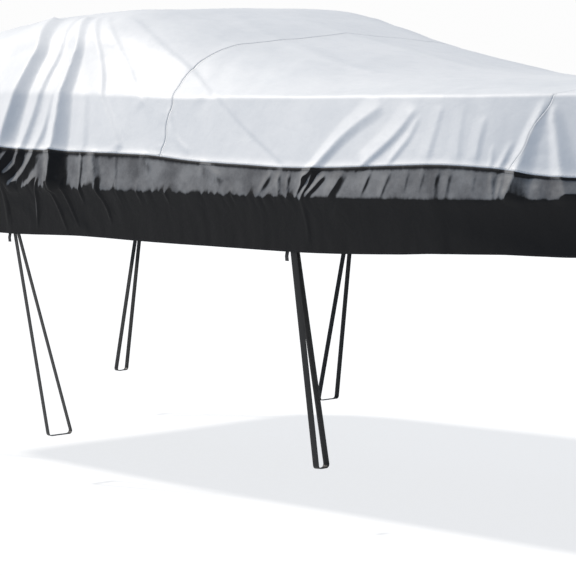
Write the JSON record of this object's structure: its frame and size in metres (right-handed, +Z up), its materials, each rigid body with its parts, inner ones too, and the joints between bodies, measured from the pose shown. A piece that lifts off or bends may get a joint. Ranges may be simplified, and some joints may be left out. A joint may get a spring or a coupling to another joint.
{
  "type": "boat cover",
  "caption": "Fitted trailering cover for an open runabout: silver cloth over the windshield and decks, a dark gunwale band with its hem, and tie-down loops.",
  "frame": {"origin": "under the cloth on the centre line, where the top of the boat's windshield holds the cover up", "axes": "+X to the bow, +Z up, so -Y is starboard"},
  "size_m": [5.5966, 2.1192, 1.7633],
  "materials": {
    "silver_cloth": "coated polyester, satin",
    "charcoal_cloth": "coated polyester, matt",
    "black_webbing": "woven polypropylene webbing"
  },
  "bodies": {
    "root": {"top_aft": "silver_cloth", "top_mid": "silver_cloth", "top_bow": "silver_cloth", "transom_panel": "silver_cloth", "band_starboard": "charcoal_cloth", "band_port": "charcoal_cloth", "band_transom": "charcoal_cloth", "strap_s1": "black_webbing", "strap_s2": "black_webbing", "strap_s3": "black_webbing", "strap_s4": "black_webbing", "strap_p1": "black_webbing", "strap_p2": "black_webbing", "strap_p3": "black_webbing", "strap_p4": "black_webbing", "tail_s1": "black_webbing", "tail_s2": "black_webbing", "tail_s3": "black_webbing", "tail_s4": "black_webbing", "tail_p1": "black_webbing", "tail_p2": "black_webbing", "tail_p3": "black_webbing", "tail_p4": "black_webbing"}
  },
  "joints": []
}
